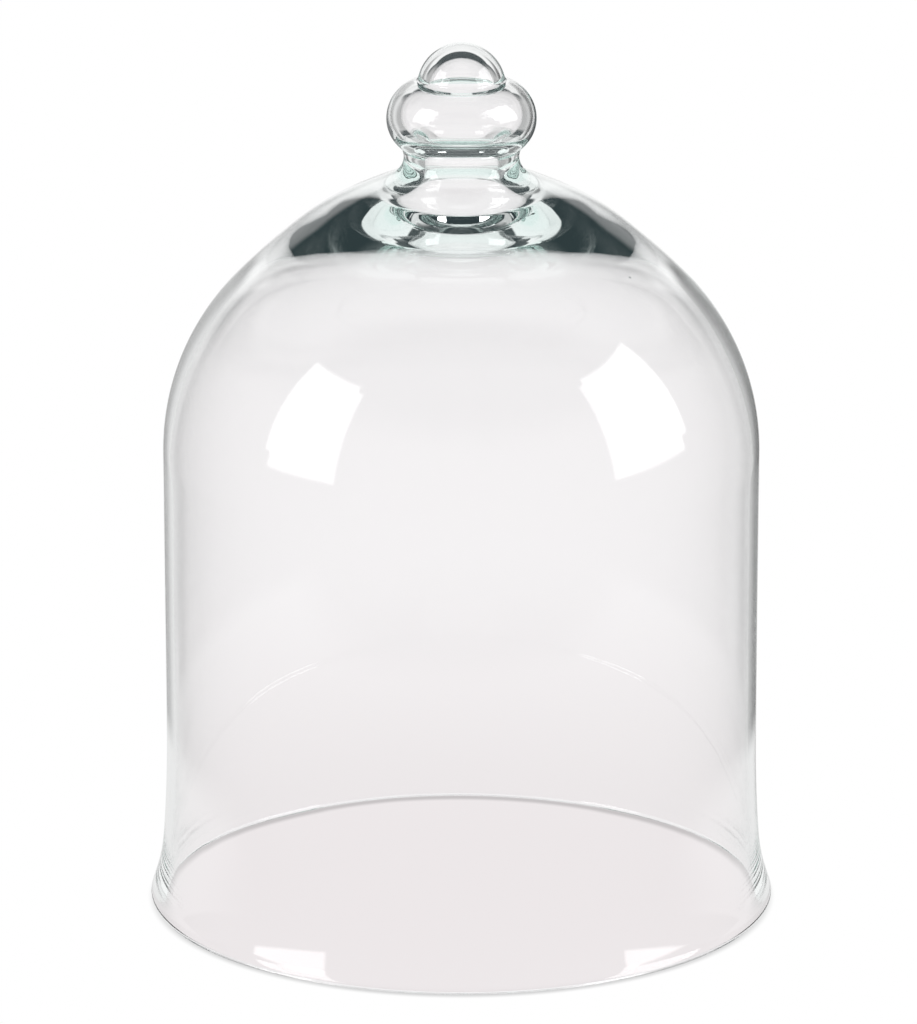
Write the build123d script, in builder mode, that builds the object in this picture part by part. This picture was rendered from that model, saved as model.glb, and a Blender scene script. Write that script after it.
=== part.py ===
"""A glass bell jar dome: a blown bell, and a hollow knob joined to it hot at the neck.

The dome stands mouth down on the plane Z = 0, with its axis on +Z. Both pieces are turned
shapes, so each is one half section in the XZ plane, revolved about Z. The outlines are chains
of tangent arcs. The two pieces meet face to face at the neck's narrowest ring, and the bore
through that ring opens the knob's hollow into the bell.
"""

import os
from math import radians, sin

from build123d import *

# ---- Driving dimensions, in mm and degrees. An arc is (radius, turn), a turn to the left
# ---- being positive, and each chain of arcs starts straight up or straight down. ----

# The bell's wall, a straight cylinder from the foot to the shoulder
wall_radius = 104.25
wall_thickness = 3.0
wall_bottom = 60.0
wall_top = 163.0

# The outside of the dome, up from the wall to the neck's narrowest ring
shoulder = (86.0, 45.0)
haunch = (260.0, 6.5)
crown_edge = (87.0, 12.5)
crown = (175.0, 3.5)
neck_slope_length = 7.5
neck_foot_radius = 7.0

# The underside of the dome, down from the neck's ring to the wall: the crown is thick
bore_radius = 12.8
bore_depth = 0.5
throat = (27.0, 41.0)
throat_lip = (11.0, 39.0)
crown_underside = (270.0, -2.4)
crown_edge_underside = (48.0, -7.6)
haunch_underside = (90.0, -7.0)

# The foot: a long gentle flare, a short one, and a thickened round lip, ground flat
long_flare = (480.0, 4.5)
short_flare = (70.0, 13.5)
lip_thickness = 3.8
ground_depth = 0.1

# The outside of the knob, up from the neck's ring: the bulb, the crease and the rounded tip
bulb_foot = (5.2, -48.0)
bulb_lower = (12.8, 48.0)
bulb_upper = (14.0, 72.8)
tip_crease = (1.8, -58.8)

# The knob's hollow, up from the neck's ring
bore_height = 0.5
hollow_foot = (7.0, -64.0)
hollow_lower = (8.0, 64.0)
hollow_upper = (9.5, 76.0)
hollow_crease = (4.0, -62.0)


def total_turn(*arcs):
    return sum(turn for _, turn in arcs)


def chain(start, direction, *arcs):
    """Draws arcs one after another, each tangent to the last, and returns the last one."""
    for radius, turn in arcs:
        arc = JernArc(start, direction, radius, turn)
        start, direction = arc @ 1, arc % 1
    return arc


def rounded_end(last_arc, turned):
    """Draws the arc that carries a chain, turned so far from straight up, over to the axis."""
    start = last_arc @ 1
    return JernArc(start, last_arc % 1, start.X / sin(radians(90 + turned)), 90 - turned)


# ---- The bell: neck foot, crown, shoulder, wall, flared foot and lip, in one wall of glass ----

with BuildPart() as bell:
    with BuildSketch(Plane.XZ):
        with BuildLine():
            # The outside, up from the wall
            dome_arcs = (shoulder, haunch, crown_edge, crown)
            dome = chain((wall_radius, wall_top), (0, 1), *dome_arcs)
            neck_slope = PolarLine(dome @ 1, neck_slope_length, direction=dome % 1)
            neck_foot_turn = -total_turn(*dome_arcs)
            neck_foot = chain(neck_slope @ 1, neck_slope % 1, (neck_foot_radius, neck_foot_turn))
            joint = neck_foot @ 1

            # The outside, down from the wall to the lip
            Line((wall_radius, wall_top), (wall_radius, wall_bottom))
            flare = chain((wall_radius, wall_bottom), (0, -1), long_flare, short_flare)
            lip_radius = lip_thickness / 2
            flare_turn = total_turn(long_flare, short_flare)
            lip_start = lip_radius - ground_depth + lip_radius * sin(radians(flare_turn))
            flare_end = PolarLine(
                flare @ 1,
                (flare @ 1).Y - lip_start,
                direction=flare % 1,
                length_mode=LengthMode.VERTICAL,
            )
            lip = JernArc(flare_end @ 1, flare_end % 1, lip_radius, -180)

            # The face of the hot joint, and the bore and the underside below it
            bore_top = (bore_radius, joint.Y)
            bore_end = (bore_radius, joint.Y - bore_depth)
            Line(joint, bore_top)
            Line(bore_top, bore_end)
            crown_arcs = (throat, throat_lip, crown_underside, crown_edge_underside)
            underside_arcs = (*crown_arcs, haunch_underside)
            underside = chain(bore_end, (0, -1), *underside_arcs)
            inner_radius = wall_radius - wall_thickness
            slope = 90 - total_turn(*underside_arcs)
            shoulder_inside_radius = (inner_radius - (underside @ 1).X) / (1 - sin(radians(slope)))
            shoulder_inside = JernArc(
                underside @ 1, underside % 1, shoulder_inside_radius, slope - 90
            )

            # The inside of the wall, thickening from the flare to the lip
            Line(shoulder_inside @ 1, (inner_radius, wall_bottom))
            long_flare_inside = (long_flare[0] + wall_thickness, long_flare[1])
            flare_inside = chain((inner_radius, wall_bottom), (0, -1), long_flare_inside)
            TangentArc(flare_inside @ 1, lip @ 1, tangent=flare_inside % 1)
        make_face()
    revolve(axis=Axis.Z)
    # The lip is ground off level at Z = 0
    split(bisect_by=Plane.XY, keep=Keep.TOP)
bell.part.label = "bell"


# ---- The knob: neck, bulb and tip, blown hollow ----

with BuildPart() as knob:
    with BuildSketch(Plane.XZ):
        with BuildLine():
            outside_arcs = (bulb_foot, bulb_lower, bulb_upper, tip_crease)
            outside = chain(joint, (0, 1), *outside_arcs)
            tip = rounded_end(outside, total_turn(*outside_arcs))

            bore_start = (bore_radius, joint.Y + bore_height)
            Line(joint, bore_top)
            Line(bore_top, bore_start)
            hollow_arcs = (hollow_foot, hollow_lower, hollow_upper, hollow_crease)
            hollow = chain(bore_start, (0, 1), *hollow_arcs)
            hollow_top = rounded_end(hollow, total_turn(*hollow_arcs))
            Line(hollow_top @ 1, tip @ 1)
        make_face()
    revolve(axis=Axis.Z)
knob.part.label = "knob"


# ---- Export ----

os.makedirs("parts", exist_ok=True)
for piece in (bell.part, knob.part):
    export_step(piece, f"parts/{piece.label}.step")
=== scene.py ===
"""Looks for the bell jar dome: clear blown glass on a white table, in a plain studio.

The dome is a blown bell with a hollow knob joined to it hot. Hot-joined glass has no surface at
its joint, so both are drawn here as one skin of glass, turned from the same half section as the
CAD pieces, with the slight unevenness of hand-blown glass and two seeds in its wall.
"""

import math

import bmesh
import bpy
from mathutils import Matrix, Vector


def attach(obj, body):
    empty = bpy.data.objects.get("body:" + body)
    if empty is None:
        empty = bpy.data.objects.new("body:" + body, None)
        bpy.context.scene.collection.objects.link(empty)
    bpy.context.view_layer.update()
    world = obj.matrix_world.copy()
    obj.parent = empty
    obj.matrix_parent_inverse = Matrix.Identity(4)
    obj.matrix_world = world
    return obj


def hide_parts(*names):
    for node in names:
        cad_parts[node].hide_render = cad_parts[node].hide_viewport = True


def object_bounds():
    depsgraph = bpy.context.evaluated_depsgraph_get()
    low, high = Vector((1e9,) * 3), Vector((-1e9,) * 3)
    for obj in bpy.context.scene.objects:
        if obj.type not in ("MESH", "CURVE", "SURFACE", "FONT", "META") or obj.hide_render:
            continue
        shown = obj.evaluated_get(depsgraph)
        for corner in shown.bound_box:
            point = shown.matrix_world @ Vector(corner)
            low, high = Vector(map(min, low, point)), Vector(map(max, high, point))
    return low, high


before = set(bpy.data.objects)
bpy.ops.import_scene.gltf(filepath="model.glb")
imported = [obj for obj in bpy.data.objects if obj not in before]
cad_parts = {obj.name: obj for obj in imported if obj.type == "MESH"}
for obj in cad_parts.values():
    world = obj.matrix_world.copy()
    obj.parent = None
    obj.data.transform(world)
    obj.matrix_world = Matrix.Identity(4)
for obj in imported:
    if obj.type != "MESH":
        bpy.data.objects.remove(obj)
cad_low, cad_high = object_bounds()

MM = 0.001

# ---- The half section, as in the CAD: mm and degrees, an arc is (radius, turn) ----

# The wall, and the outside of the dome from it up to the neck's ring
WALL_RADIUS = 104.25
WALL_THICKNESS = 3.0
WALL_BOTTOM = 60.0
WALL_TOP = 163.0
SHOULDER = (86.0, 45.0)
HAUNCH = (260.0, 6.5)
CROWN_EDGE = (87.0, 12.5)
CROWN = (175.0, 3.5)
NECK_SLOPE_LENGTH = 7.5
NECK_FOOT_RADIUS = 7.0

# The underside of the dome, from the neck's ring down to the wall
BORE_RADIUS = 12.8
BORE_DEPTH = 0.5
THROAT = (27.0, 41.0)
THROAT_LIP = (11.0, 39.0)
CROWN_UNDERSIDE = (270.0, -2.4)
CROWN_EDGE_UNDERSIDE = (48.0, -7.6)
HAUNCH_UNDERSIDE = (90.0, -7.0)

# The foot: two flares, and a round lip that is ground flat
LONG_FLARE = (480.0, 4.5)
SHORT_FLARE = (70.0, 13.5)
LIP_THICKNESS = 3.8
GROUND_DEPTH = 0.1

# The knob's outside and its hollow, both from the neck's ring up
BULB_FOOT = (5.2, -48.0)
BULB_LOWER = (12.8, 48.0)
BULB_UPPER = (14.0, 72.8)
TIP_CREASE = (1.8, -58.8)
BORE_HEIGHT = 0.5
HOLLOW_FOOT = (7.0, -64.0)
HOLLOW_LOWER = (8.0, 64.0)
HOLLOW_UPPER = (9.5, 76.0)
HOLLOW_CREASE = (4.0, -62.0)

# ---- How finely the section is turned: steps around the axis, and along the section ----

SEGMENTS = 208
# An arc's steps: at least so many, so many degrees each, and between these lengths in mm
FEWEST_STEPS = 4
ARC_STEP = 2.2
SHORTEST_RUN = 0.6
ARC_RUN = 2.5
FLARE_RUN = 1.5
# A straight run's steps, in mm
RUN_STEP = 6.0
# Nearer to the axis than this, in mm, a ring of vertices is a single one
ON_AXIS = 1e-6
SMOOTH_ANGLE = math.radians(12)

# ---- Hand-blown unevenness: how far the inside wanders and the outside sinks in, in mm ----

INSIDE_WANDER = 0.16
INSIDE_PHASE = 2.1
OUTSIDE_SINK = 0.12
OUTSIDE_PHASE = 0.4
# Each wave's share, its lobes around the axis, its twist over a metre's height, its own phase
WAVES = (
    (0.5, 2, 9.0, 1.0),
    (0.3, 3, -31.0, 1.7),
    (0.2, 5, 58.0, 2.3),
)
# In mm: it starts at this height, is full this much higher, and fades from this radius inward
EVEN_FOOT = 4.0
EVEN_FADE = 20.0
EVEN_RADIUS = 12.0

# ---- Seeds, small bubbles in the wall: azimuth in degrees from the front, height, radius in mm ----

SEEDS = (
    (-50.0, 241.0, 0.42),
    (57.0, 232.6, 0.40),
)
SEED_DEPTH = 2.2
SEED_STRETCH = 1.15
SEED_SUBDIVISIONS = 3

# ---- The glass: its colour over a metre, and how strongly it builds up ----

GLASS_IOR = 1.52
GLASS_TINT = (0.80, 0.93, 0.90, 1.0)
GLASS_DENSITY = 6.0
# Faint smudges of handling: grains to a metre, their detail, where they show and how rough
SMUDGE_SCALE = (18.0, 18.0, 12.0)
SMUDGE_DETAIL = 4.0
SMUDGE_FADE = (0.5, 0.75)
SMUDGE_ROUGHNESS = 0.02
# The cords and ripples of blown glass: grains to a metre, their detail and their depth in metres
CORD_SCALE = (34.0, 34.0, 9.0)
CORD_DETAIL = 2.0
CORD_DEPTH = 0.00005

# ---- The room, in degrees: azimuth is 0 in front and positive to the right, elevation is up ----
# ---- Here and for the table, a pair of angles or distances is where a fade starts and ends ----

WHITE = (1.0, 1.0, 1.0, 1.0)
# The dark room that the glass mirrors, and the white sweep behind the dome and far below
ROOM_DARK = (0.034, 0.048, 0.052, 1.0)
SWEEP_SIDE = 150.0
SWEEP_TOP = 24.0
SWEEP_EDGE = 2.5
SWEEP_BELOW = (-60.0, -50.0)
# Light that has run along inside the thick crown, after this many mirrorings, sees a wider sweep
GUIDED_MIRRORS = 4
GUIDED_SIDE = 135.0
# The table as the wall mirrors it, up to so many times: its band of elevations, its tones
TABLE_BAND_FOOT = (-30.0, -24.0)
TABLE_BAND_TOP = (4.0, 14.0)
TABLE_MIRRORS = 2
TABLE_TONES = (
    (-180.0, 1.0),
    (-173.0, 0.9),
    (-169.0, 0.35),
    (-160.0, 0.40),
    (-152.0, 0.75),
    (-130.0, 0.85),
    (-90.0, 0.45),
    (0.0, 0.36),
    (90.0, 0.40),
    (130.0, 0.65),
    (150.0, 0.55),
    (158.0, 0.15),
    (168.0, 0.10),
    (172.0, 0.9),
    (180.0, 1.0),
)
# The grey room in front as the wall mirrors it, up to so many times: its reach, its tone
FRONT_SIDE = (135.0, 150.0)
FRONT_TOP = (20.0, 40.0)
FRONT_MIRRORS = 1
FRONT_TONE = (0.44, 0.44, 0.44, 1.0)
# The softboxes, mirrored up to so many times: azimuth, width, elevation, height
SOFTBOXES = (
    (-66.0, 30.0, 24.0, 36.0),
    (80.0, 36.0, 24.0, 36.0),
)
SOFTBOX_MIRRORS = 3
SOFTBOX_POWER = 4.0
SOFTBOX_EDGE = 1.0

# ---- The table, in metres ----

# Its left, right, near and far sides, and how far under the lip it lies
TABLE_SIDES = (-0.6, 0.6, -0.5, 1.5)
TABLE_GAP = 0.0005
# The backdrop through the glass, and the table's tone near the dome, a painted shade, out to where
# it is as light
BACKDROP = (1.0, 0.975, 0.985, 1.0)
TABLE_SHADED_TONE = (0.885, 0.84, 0.85, 1.0)
TABLE_SHADE = (0.05, 0.46)
# The shadow painted round the dome's foot, under its lip: its radius, its reach and its strength
LIP_SHADE_RADIUS = 0.1075
LIP_SHADE_REACH = 0.0045
LIP_SHADE = 0.35
# The part beside and behind the dome, painted grey in what the glass mirrors, up to so many times;
# seen straight it is white
BESIDE_TONE = 0.8
BESIDE_MIRRORS = 4
BESIDE_REACH = (0.22, 0.27)
BESIDE_FRONT = (-0.10, 0.0)

# ---- The camera, in degrees, metres and, for its lens and sensor, mm ----

CAMERA_TILT = 15.576
CAMERA_DISTANCE = 2.2
CAMERA_LENS = 220.67
CAMERA_SENSOR = 36.0
CAMERA_CLIP_END = 100.0
CAMERA_AIM_X = -0.001
CAMERA_AIM_HEIGHT = 0.1398

# Enough bounces that light running along inside the glass comes out, and isn't cut off black
GLASS_BOUNCES = 64
CLEAR_BOUNCES = 16


class Outline:
    """A chain of tangent arcs and runs in (r, z), from a start point and a heading in degrees."""

    def __init__(self, r, z, heading):
        self.points = [(r, z)]
        self.heading = heading
        self.arc_run = ARC_RUN

    def arc(self, radius, turn):
        side = math.copysign(1.0, turn)
        start = math.radians(self.heading)
        r, z = self.points[-1]
        centre_r = r - side * radius * math.sin(start)
        centre_z = z + side * radius * math.cos(start)
        length = radius * math.radians(abs(turn))
        fine = min(abs(turn) / ARC_STEP, length / SHORTEST_RUN)
        steps = math.ceil(max(FEWEST_STEPS, fine, length / self.arc_run))
        for k in range(1, steps + 1):
            angle = start + math.radians(turn) * k / steps
            r = centre_r + side * radius * math.sin(angle)
            z = centre_z - side * radius * math.cos(angle)
            self.points.append((r, z))
        self.heading += turn

    def arcs(self, *arcs):
        for radius, turn in arcs:
            self.arc(radius, turn)

    def run(self, length):
        angle = math.radians(self.heading)
        r, z = self.points[-1]
        steps = max(1, math.ceil(length / RUN_STEP))
        for k in range(1, steps + 1):
            along = length * k / steps
            self.points.append((r + along * math.cos(angle), z + along * math.sin(angle)))

    def round_over(self):
        """The arc that carries the outline over to the axis."""
        r = self.points[-1][0]
        self.arc(r / math.sin(math.radians(self.heading)), 180 - self.heading)
        self.points[-1] = (0.0, self.points[-1][1])


def outside_above():
    """The outside from the wall's top up to the tip, and the joint's height."""
    up = Outline(WALL_RADIUS, WALL_TOP, 90)
    up.arcs(SHOULDER, HAUNCH, CROWN_EDGE, CROWN)
    up.run(NECK_SLOPE_LENGTH)
    up.arc(NECK_FOOT_RADIUS, 90 - up.heading)
    joint = up.points[-1][1]
    up.arcs(BULB_FOOT, BULB_LOWER, BULB_UPPER, TIP_CREASE)
    up.round_over()
    return up.points, joint


def outside_below():
    """The outside from the wall's top down the flare and round the lip, to where the lip ends."""
    down = Outline(WALL_RADIUS, WALL_TOP, -90)
    down.run(WALL_TOP - WALL_BOTTOM)
    down.arc_run = FLARE_RUN
    down.arcs(LONG_FLARE, SHORT_FLARE)
    slope = math.radians(-down.heading)
    radius = LIP_THICKNESS / 2
    lip_start = radius - GROUND_DEPTH + radius * math.cos(slope)
    down.run((down.points[-1][1] - lip_start) / math.sin(slope))
    down.arc(radius, -180)
    return down.points


def inside_above(joint):
    """The hollow from the bore up to its top."""
    up = Outline(BORE_RADIUS, joint, 90)
    up.run(BORE_HEIGHT)
    up.arcs(HOLLOW_FOOT, HOLLOW_LOWER, HOLLOW_UPPER, HOLLOW_CREASE)
    up.round_over()
    return up.points


def inside_below(joint, lip_end):
    """The inside from the bore down to where the lip ends."""
    down = Outline(BORE_RADIUS, joint, -90)
    down.run(BORE_DEPTH)
    down.arcs(THROAT, THROAT_LIP, CROWN_UNDERSIDE, CROWN_EDGE_UNDERSIDE, HAUNCH_UNDERSIDE)
    slope = -down.heading
    inner_radius = WALL_RADIUS - WALL_THICKNESS
    radius = (inner_radius - down.points[-1][0]) / (1 - math.sin(math.radians(slope)))
    down.arc(radius, slope - 90)
    down.run(down.points[-1][1] - WALL_BOTTOM)
    down.arc_run = FLARE_RUN
    long_radius, long_turn = LONG_FLARE
    down.arc(long_radius + WALL_THICKNESS, long_turn)
    # One more arc, tangent to the last
    r, z = down.points[-1]
    chord = Vector((lip_end[0] - r, lip_end[1] - z))
    half_turn = math.atan2(chord.y, chord.x) - math.radians(down.heading)
    down.arc(abs(chord.length / 2 / math.sin(half_turn)), math.degrees(2 * half_turn))
    return down.points


def section():
    """The outside from the tip down and round the lip, and the inside from there up to its top."""
    above, joint = outside_above()
    below = outside_below()
    inside = inside_below(joint, below[-1])
    outer = above[::-1] + below[1:]
    inner = inside[::-1][1:] + inside_above(joint)[1:]
    return outer, inner


def ground(point):
    """A point of the section, with the lip ground off level at the table."""
    r, z = point
    return r, max(z, 0.0)


def wander(azimuth, z, phase):
    """A slow, smooth unevenness between -1 and 1 over the turned surface."""
    height = z * MM
    waves = 0.0
    for share, lobes, twist, own_phase in WAVES:
        waves += share * math.sin(lobes * azimuth + twist * height + own_phase * phase)
    return waves


def unevenness(r, z):
    """0 at the lip and on the axis, where the surface must stay true, up to 1 away from them."""
    return min(1.0, max(0.0, (z - EVEN_FOOT) / EVEN_FADE)) * min(1.0, r / EVEN_RADIUS)


def outside_lift(azimuth, r, z):
    return -OUTSIDE_SINK * unevenness(r, z) * (0.5 + 0.5 * wander(azimuth, z, OUTSIDE_PHASE))


def inside_lift(azimuth, r, z):
    return INSIDE_WANDER * unevenness(r, z) * wander(azimuth, z, INSIDE_PHASE)


def turned(points, lift):
    """Rings of vertices for the points, in metres; a point on the axis is a single vertex."""
    rings = []
    for r, z in map(ground, points):
        if r < ON_AXIS:
            rings.append([(0.0, 0.0, z * MM)])
            continue
        ring = []
        for k in range(SEGMENTS):
            azimuth = math.tau * k / SEGMENTS
            radius = (r + lift(azimuth, r, z)) * MM
            ring.append((radius * math.cos(azimuth), radius * math.sin(azimuth), z * MM))
        rings.append(ring)
    return rings


def band(first, second):
    """The faces between two rings of vertex numbers, one of which may be a single vertex."""
    faces = []
    for k in range(SEGMENTS):
        n = (k + 1) % SEGMENTS
        if len(first) == 1:
            faces.append((first[0], second[k], second[n]))
        elif len(second) == 1:
            faces.append((first[k], second[0], first[n]))
        else:
            faces.append((first[k], second[k], second[n], first[n]))
    return faces


def skin_mesh():
    outer, inner = section()
    vertices = []
    numbered = []
    for ring in turned(outer, outside_lift) + turned(inner, inside_lift):
        numbered.append(range(len(vertices), len(vertices) + len(ring)))
        vertices += ring
    faces = []
    for first, second in zip(numbered, numbered[1:]):
        faces += band(first, second)
    mesh = bpy.data.meshes.new("bell_jar_glass")
    mesh.from_pydata(vertices, [], faces)
    return mesh


def under_outside(azimuth, z, depth):
    """A point so deep under the outside, at an azimuth in degrees from the front and a height."""
    above = outside_above()[0]
    r = min(above, key=lambda point: abs(point[1] - z))[0] - depth
    angle = math.radians(azimuth - 90)
    return Vector((r * math.cos(angle), r * math.sin(angle), z)) * MM


def add_seed(bm, azimuth, z, radius):
    """A bubble a little wider than tall: a closed cavity, so its faces look inward."""
    centre = Matrix.Translation(under_outside(azimuth, z, SEED_DEPTH))
    stretch = Matrix.Diagonal((SEED_STRETCH, SEED_STRETCH, 1.0, 1.0))
    made = bmesh.ops.create_icosphere(
        bm, subdivisions=SEED_SUBDIVISIONS, radius=radius * MM, matrix=centre @ stretch
    )
    faces = {face for vertex in made["verts"] for face in vertex.link_faces}
    bmesh.ops.reverse_faces(bm, faces=list(faces))


class Nodes:
    """Short ways to make and link the shader nodes of a world or a material."""

    def __init__(self, tree):
        self.tree = tree

    def make(self, kind, **settings):
        node = self.tree.nodes.new(kind)
        for name, value in settings.items():
            setattr(node, name, value)
        return node

    def feed(self, socket, value):
        if isinstance(value, (int, float, tuple)):
            socket.default_value = value
        else:
            self.tree.links.new(value, socket)

    def fed(self, kind, *values, **settings):
        """A node whose first sockets take these values."""
        node = self.make(kind, **settings)
        for socket, value in zip(node.inputs, values):
            self.feed(socket, value)
        return node

    def math(self, operation, *values):
        return self.fed("ShaderNodeMath", *values, operation=operation).outputs[0]

    def product(self, *factors):
        result = factors[0]
        for factor in factors[1:]:
            result = self.math("MULTIPLY", result, factor)
        return result

    def rise(self, value, start, end):
        """0 below start, 1 above end, and smooth between."""
        values = (value, start, end, 0.0, 1.0)
        return self.fed("ShaderNodeMapRange", *values, interpolation_type="SMOOTHSTEP").outputs[0]

    def fall(self, value, start, end):
        return self.math("SUBTRACT", 1.0, self.rise(value, start, end))

    def over(self, count, limit):
        """1 where a whole count is over the limit, and else 0."""
        return self.math("GREATER_THAN", count, limit + 0.5)

    def up_to(self, count, limit):
        """1 where a whole count is no more than the limit, and else 0."""
        return self.math("LESS_THAN", count, limit + 0.5)

    def add(self, first, second):
        return self.fed("ShaderNodeVectorMath", first, second, operation="ADD").outputs[0]

    def noise(self, place, scale, detail):
        """Noise with its own scale along X, Y and Z, in grains to a metre."""
        stretch = self.fed("ShaderNodeVectorMath", place, scale, operation="MULTIPLY")
        node = self.make("ShaderNodeTexNoise")
        self.feed(node.inputs["Vector"], stretch.outputs[0])
        self.feed(node.inputs["Scale"], 1.0)
        self.feed(node.inputs["Detail"], detail)
        return node.outputs[0]

    def blend(self, factor, start, end):
        """From one colour to another; a Mix node has its colours after its numbers and vectors."""
        node = self.make("ShaderNodeMix", data_type="RGBA")
        for number, value in ((0, factor), (6, start), (7, end)):
            self.feed(node.inputs[number], value)
        return node.outputs[2]

    def glow(self, colour, strength):
        node = self.make("ShaderNodeEmission")
        self.feed(node.inputs["Color"], colour)
        self.feed(node.inputs["Strength"], strength)
        return node.outputs[0]

    def either(self, factor, first, second):
        return self.fed("ShaderNodeMixShader", factor, first, second).outputs[0]

    def coordinates(self, kind):
        """X, Y and Z of the object, or of the direction that a world is seen in."""
        place = self.make("ShaderNodeTexCoord").outputs[kind]
        return self.fed("ShaderNodeSeparateXYZ", place).outputs

    def bounces(self):
        """How many times a ray has been mirrored, and how many times it has gone through glass."""
        path = self.make("ShaderNodeLightPath")
        return path.outputs["Glossy Depth"], path.outputs["Transmission Depth"]


def glass_material():
    """Clear soda-lime glass with faint smudges and cords, and a green that grows with the depth."""
    material = bpy.data.materials.new("clear_glass")
    material.use_nodes = True
    tree = material.node_tree
    nodes = Nodes(tree)
    shader = tree.nodes["Principled BSDF"]
    shader.inputs["Base Color"].default_value = WHITE
    shader.inputs["IOR"].default_value = GLASS_IOR
    shader.inputs["Transmission Weight"].default_value = 1.0
    place = nodes.make("ShaderNodeTexCoord").outputs["Object"]
    smudge = nodes.rise(nodes.noise(place, SMUDGE_SCALE, SMUDGE_DETAIL), *SMUDGE_FADE)
    nodes.feed(shader.inputs["Roughness"], nodes.product(smudge, SMUDGE_ROUGHNESS))
    bump = nodes.make("ShaderNodeBump")
    bump.inputs["Strength"].default_value = 1.0
    bump.inputs["Distance"].default_value = CORD_DEPTH
    nodes.feed(bump.inputs["Height"], nodes.noise(place, CORD_SCALE, CORD_DETAIL))
    nodes.feed(shader.inputs["Normal"], bump.outputs[0])
    depth = nodes.make("ShaderNodeVolumeAbsorption")
    depth.inputs["Color"].default_value = GLASS_TINT
    depth.inputs["Density"].default_value = GLASS_DENSITY
    nodes.feed(tree.nodes["Material Output"].inputs["Volume"], depth.outputs[0])
    return material


def glass_piece():
    mesh = skin_mesh()
    bm = bmesh.new()
    bm.from_mesh(mesh)
    bmesh.ops.recalc_face_normals(bm, faces=bm.faces)
    for azimuth, z, radius in SEEDS:
        add_seed(bm, azimuth, z, radius)
    bm.to_mesh(mesh)
    bm.free()
    mesh.shade_smooth()
    mesh.set_sharp_from_angle(angle=SMOOTH_ANGLE)
    mesh.materials.append(glass_material())
    piece = bpy.data.objects.new("bell_jar_glass", mesh)
    bpy.context.scene.collection.objects.link(piece)
    return piece


class Room:
    """What the glass mirrors: a dark room with a white sweep, the table and two softboxes."""

    def __init__(self, nodes, mirrors):
        self.nodes = nodes
        self.mirrors = mirrors
        x, y, z = nodes.coordinates("Generated")
        backward = nodes.math("MULTIPLY", y, -1.0)
        self.azimuth = nodes.math("DEGREES", nodes.math("ARCTAN2", x, backward))
        self.elevation = nodes.math("DEGREES", nodes.math("ARCSINE", z))
        self.around = nodes.math("ABSOLUTE", self.azimuth)
        self.colour = ROOM_DARK

    def add_sweep(self):
        """White behind the dome, wider for guided light, and white far below."""
        nodes = self.nodes
        guided = nodes.over(self.mirrors, GUIDED_MIRRORS)
        side = nodes.math("MULTIPLY_ADD", guided, GUIDED_SIDE - SWEEP_SIDE, SWEEP_SIDE)
        off_side = nodes.math("SUBTRACT", self.around, side)
        behind = nodes.rise(off_side, -SWEEP_EDGE, SWEEP_EDGE)
        low = nodes.fall(self.elevation, SWEEP_TOP - SWEEP_EDGE, SWEEP_TOP + SWEEP_EDGE)
        below = nodes.fall(self.elevation, *SWEEP_BELOW)
        sweep = nodes.math("MAXIMUM", nodes.product(behind, low), below)
        self.colour = nodes.blend(sweep, self.colour, WHITE)

    def add_table(self):
        """The table around the dome, which the wall mirrors at flat angles."""
        nodes = self.nodes
        shows = nodes.product(
            nodes.rise(self.elevation, *TABLE_BAND_FOOT),
            nodes.fall(self.elevation, *TABLE_BAND_TOP),
            nodes.up_to(self.mirrors, TABLE_MIRRORS),
        )
        self.colour = nodes.blend(shows, self.colour, self.table_tone())

    def table_tone(self):
        """The table's tone at the azimuth, on a straight line between each two of its tones."""
        curve = self.nodes.make("ShaderNodeFloatCurve")
        turn = self.nodes.math("MULTIPLY_ADD", self.azimuth, 1 / 360, 0.5)
        self.nodes.feed(curve.inputs["Value"], turn)
        points = curve.mapping.curves[0].points
        ready = len(points)
        for k, (azimuth, tone) in enumerate(TABLE_TONES):
            turn = azimuth / 360 + 0.5
            if k < ready:
                points[k].location = (turn, tone)
            else:
                points.new(turn, tone)
        for point in points:
            point.handle_type = "VECTOR"
        curve.mapping.update()
        return curve.outputs[0]

    def add_front(self):
        """The grey room in front of the dome and beside it."""
        nodes = self.nodes
        shows = nodes.product(
            nodes.fall(self.around, *FRONT_SIDE),
            nodes.fall(self.elevation, *FRONT_TOP),
            nodes.rise(self.elevation, *TABLE_BAND_FOOT),
            nodes.up_to(self.mirrors, FRONT_MIRRORS),
        )
        self.colour = nodes.blend(shows, self.colour, FRONT_TONE)

    def add_softbox(self, azimuth, width, elevation, height):
        nodes = self.nodes
        across = nodes.math("ABSOLUTE", nodes.math("SUBTRACT", self.azimuth, azimuth))
        along = nodes.math("ABSOLUTE", nodes.math("SUBTRACT", self.elevation, elevation))
        inside_width = nodes.fall(across, width / 2 - SOFTBOX_EDGE, width / 2 + SOFTBOX_EDGE)
        inside_height = nodes.fall(along, height / 2 - SOFTBOX_EDGE, height / 2 + SOFTBOX_EDGE)
        power = nodes.product(nodes.up_to(self.mirrors, SOFTBOX_MIRRORS), SOFTBOX_POWER)
        light = nodes.product(power, nodes.product(inside_width, inside_height))
        self.colour = nodes.add(self.colour, light)


def studio():
    """The world: white as seen straight, nearly white through the glass, and the room mirrored.

    This is told by how a ray has bounced, so it is a stage for this view and no real room.
    """
    world = bpy.data.worlds.new("studio")
    bpy.context.scene.world = world
    world.use_nodes = True
    tree = world.node_tree
    nodes = Nodes(tree)
    mirrors, passes = nodes.bounces()
    room = Room(nodes, mirrors)
    room.add_sweep()
    room.add_table()
    room.add_front()
    for softbox in SOFTBOXES:
        room.add_softbox(*softbox)
    straight = nodes.blend(nodes.over(passes, 0), WHITE, BACKDROP)
    colour = nodes.blend(nodes.over(mirrors, 0), straight, room.colour)
    nodes.feed(tree.nodes["Background"].inputs["Color"], colour)


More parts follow.
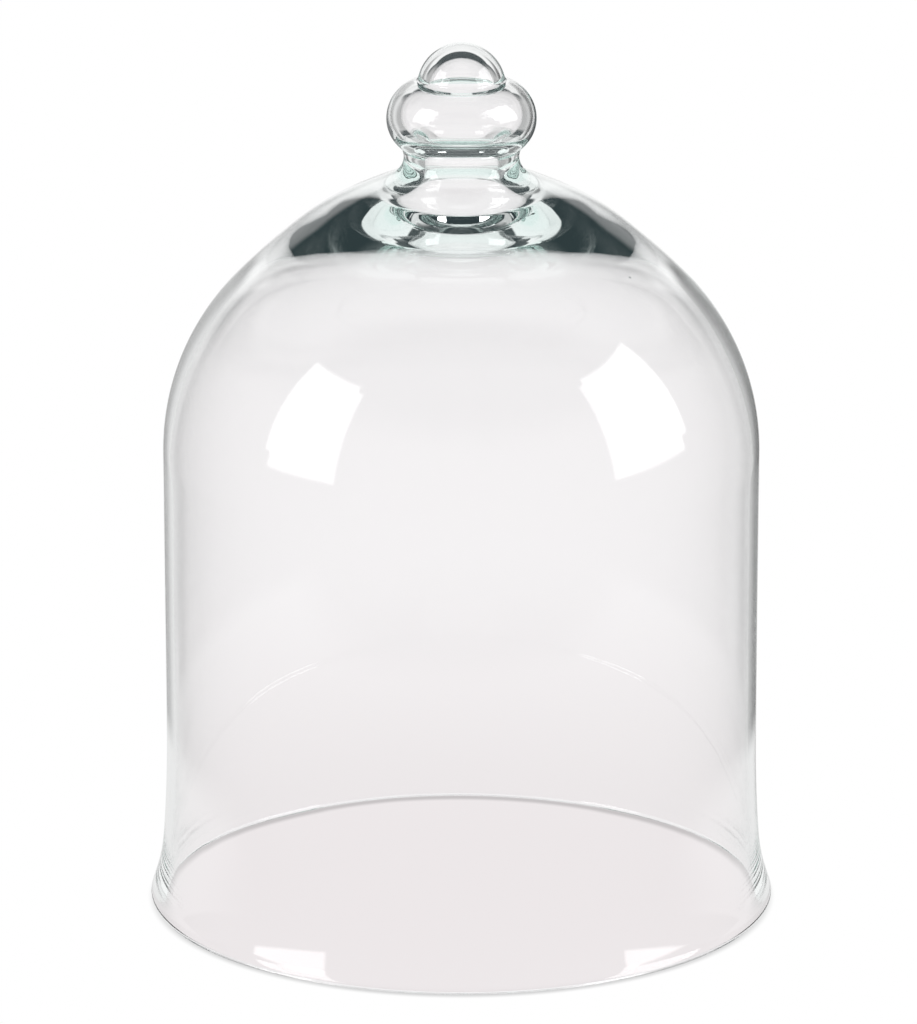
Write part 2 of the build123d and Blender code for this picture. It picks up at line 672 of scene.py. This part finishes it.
def table_material():
    """White as seen straight; seen through the glass, painted shade makes it a little darker near
    the dome and under its lip.

    A mirrored ray goes through it to the room, but for the part beside and behind the dome, where a
    grey reflection is painted.
    """
    material = bpy.data.materials.new("white_table")
    material.use_nodes = True
    material.node_tree.nodes.clear()
    nodes = Nodes(material.node_tree)
    mirrors, passes = nodes.bounces()
    x, y, _ = nodes.coordinates("Object")
    reach = nodes.math("SQRT", nodes.math("ADD", nodes.product(x, x), nodes.product(y, y)))

    # Painted shade: seen through the glass, the table is darker near the dome
    painted_shade_tone = nodes.blend(nodes.rise(reach, *TABLE_SHADE), TABLE_SHADED_TONE, BACKDROP)
    tone = nodes.blend(nodes.over(passes, 0), WHITE, painted_shade_tone)
    # Painted shadow: a darker ring on the table under the dome's lip
    off_lip = nodes.math("ABSOLUTE", nodes.math("SUBTRACT", reach, LIP_SHADE_RADIUS))
    painted_lip_shadow = nodes.product(nodes.fall(off_lip, 0.0, LIP_SHADE_REACH), LIP_SHADE)
    seen = nodes.glow(tone, nodes.math("SUBTRACT", 1.0, painted_lip_shadow))

    # Painted reflection: beside and behind the dome, a mirrored ray sees the table grey
    beside = nodes.product(
        nodes.fall(reach, *BESIDE_REACH),
        nodes.rise(y, *BESIDE_FRONT),
        nodes.up_to(mirrors, BESIDE_MIRRORS),
    )
    clear = nodes.make("ShaderNodeBsdfTransparent").outputs[0]
    mirrored = nodes.either(beside, clear, nodes.glow(WHITE, BESIDE_TONE))
    surface = nodes.either(nodes.over(mirrors, 0), seen, mirrored)
    nodes.feed(nodes.make("ShaderNodeOutputMaterial").inputs["Surface"], surface)
    return material


def table():
    """The plain white table that the dome stands on."""
    left, right, near, far = TABLE_SIDES
    corners = [(left, near, 0), (right, near, 0), (right, far, 0), (left, far, 0)]
    mesh = bpy.data.meshes.new("white_table")
    mesh.from_pydata(corners, [], [(0, 1, 2, 3)])
    mesh.materials.append(table_material())
    floor = bpy.data.objects.new("white_table", mesh)
    floor.location.z = cad_low.z - TABLE_GAP
    bpy.context.scene.collection.objects.link(floor)


def camera():
    """A view from the front, a little above, through a long lens."""
    data = bpy.data.cameras.new("camera")
    data.sensor_width = CAMERA_SENSOR
    data.lens = CAMERA_LENS
    data.clip_end = CAMERA_CLIP_END
    eye = bpy.data.objects.new("camera", data)
    bpy.context.scene.collection.objects.link(eye)
    tilt = math.radians(CAMERA_TILT)
    forward = Vector((0.0, math.cos(tilt), -math.sin(tilt)))
    middle = (cad_low + cad_high) / 2
    aim = Vector((middle.x + CAMERA_AIM_X, middle.y, cad_low.z + CAMERA_AIM_HEIGHT))
    eye.location = aim - forward * CAMERA_DISTANCE
    eye.rotation_mode = "QUATERNION"
    eye.rotation_quaternion = forward.to_track_quat("-Z", "Y")
    bpy.context.scene.camera = eye


glass = glass_piece()
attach(glass, "root")
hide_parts("bell", "knob")

studio()
table()
camera()

scene = bpy.context.scene
scene.view_settings.view_transform = "Standard"
scene.cycles.max_bounces = GLASS_BOUNCES
scene.cycles.glossy_bounces = GLASS_BOUNCES
scene.cycles.transmission_bounces = GLASS_BOUNCES
scene.cycles.transparent_max_bounces = CLEAR_BOUNCES
